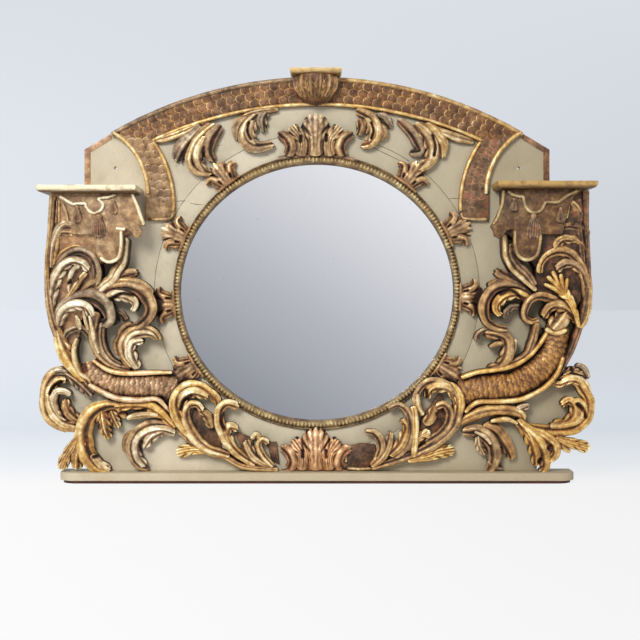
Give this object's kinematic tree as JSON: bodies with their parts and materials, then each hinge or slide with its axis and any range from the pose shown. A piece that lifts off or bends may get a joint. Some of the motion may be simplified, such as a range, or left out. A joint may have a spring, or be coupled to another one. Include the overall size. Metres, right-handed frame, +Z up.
{
  "type": "overmantel mirror",
  "caption": "Arched overmantel mirror: oval glass in a painted wood panel with carved gilt leaf scrolls, side shelves on consoles and a small top console.",
  "frame": {"origin": "centre of the bounding box in X and Y, at the underside of the base", "axes": "+X to the right of a viewer facing the mirror, +Y into the wall, +Z up"},
  "size_m": [1.5297, 0.18, 1.134],
  "materials": {
    "painted_wood": "matt",
    "underlay_wood": "matt",
    "gilt_wood": "satin",
    "bole_gilt_wood": "satin",
    "bare_pine": "matt",
    "mirror_glass": "polished"
  },
  "bodies": {
    "root": {"base_board": "painted_wood", "base_underlay": "underlay_wood", "back_panel": "painted_wood", "batten_top": "bare_pine", "batten_bottom": "bare_pine", "batten_left": "bare_pine", "batten_right": "bare_pine", "oval_frame": "painted_wood", "sight_moulding": "gilt_wood", "mirror_glass": "mirror_glass", "mirror_backboard": "bare_pine", "glazing_blocks": "bare_pine", "arch_band_left": "bole_gilt_wood", "arch_band_right": "bole_gilt_wood", "arch_leg_left": "bole_gilt_wood", "arch_leg_right": "bole_gilt_wood", "top_console_shelf": "gilt_wood", "top_console_cup": "gilt_wood", "top_palmette": "gilt_wood", "bottom_palmette": "bole_gilt_wood", "shelf_left": "gilt_wood", "shelf_right": "gilt_wood", "console_block_left": "bole_gilt_wood", "console_block_right": "bole_gilt_wood", "lambrequin_left": "bole_gilt_wood", "lambrequin_right": "bole_gilt_wood", "lambrequin_cord_left": "gilt_wood", "lambrequin_cord_right": "gilt_wood", "tassels_left": "gilt_wood", "tassels_right": "gilt_wood", "cheek_left": "gilt_wood", "cheek_right": "gilt_wood", "console_leaves_left": "gilt_wood", "console_leaves_right": "gilt_wood", "branch_leaf_left": "gilt_wood", "branch_leaf_right": "gilt_wood", "c_scroll_left": "gilt_wood", "c_scroll_right": "gilt_wood", "scaled_horn_left": "bole_gilt_wood", "scaled_horn_right": "bole_gilt_wood", "ear_scroll_left": "gilt_wood", "ear_scroll_right": "gilt_wood", "foot_scroll_left": "gilt_wood", "foot_scroll_right": "gilt_wood", "foot_leaf_left": "gilt_wood", "foot_leaf_right": "gilt_wood", "base_leaves_left": "gilt_wood", "base_leaves_right": "gilt_wood", "ring_clasps_left": "gilt_wood", "ring_clasps_right": "gilt_wood", "spray_outer_left": "gilt_wood", "spray_outer_right": "gilt_wood", "spray_inner_left": "gilt_wood", "spray_inner_right": "gilt_wood"}
  },
  "joints": []
}
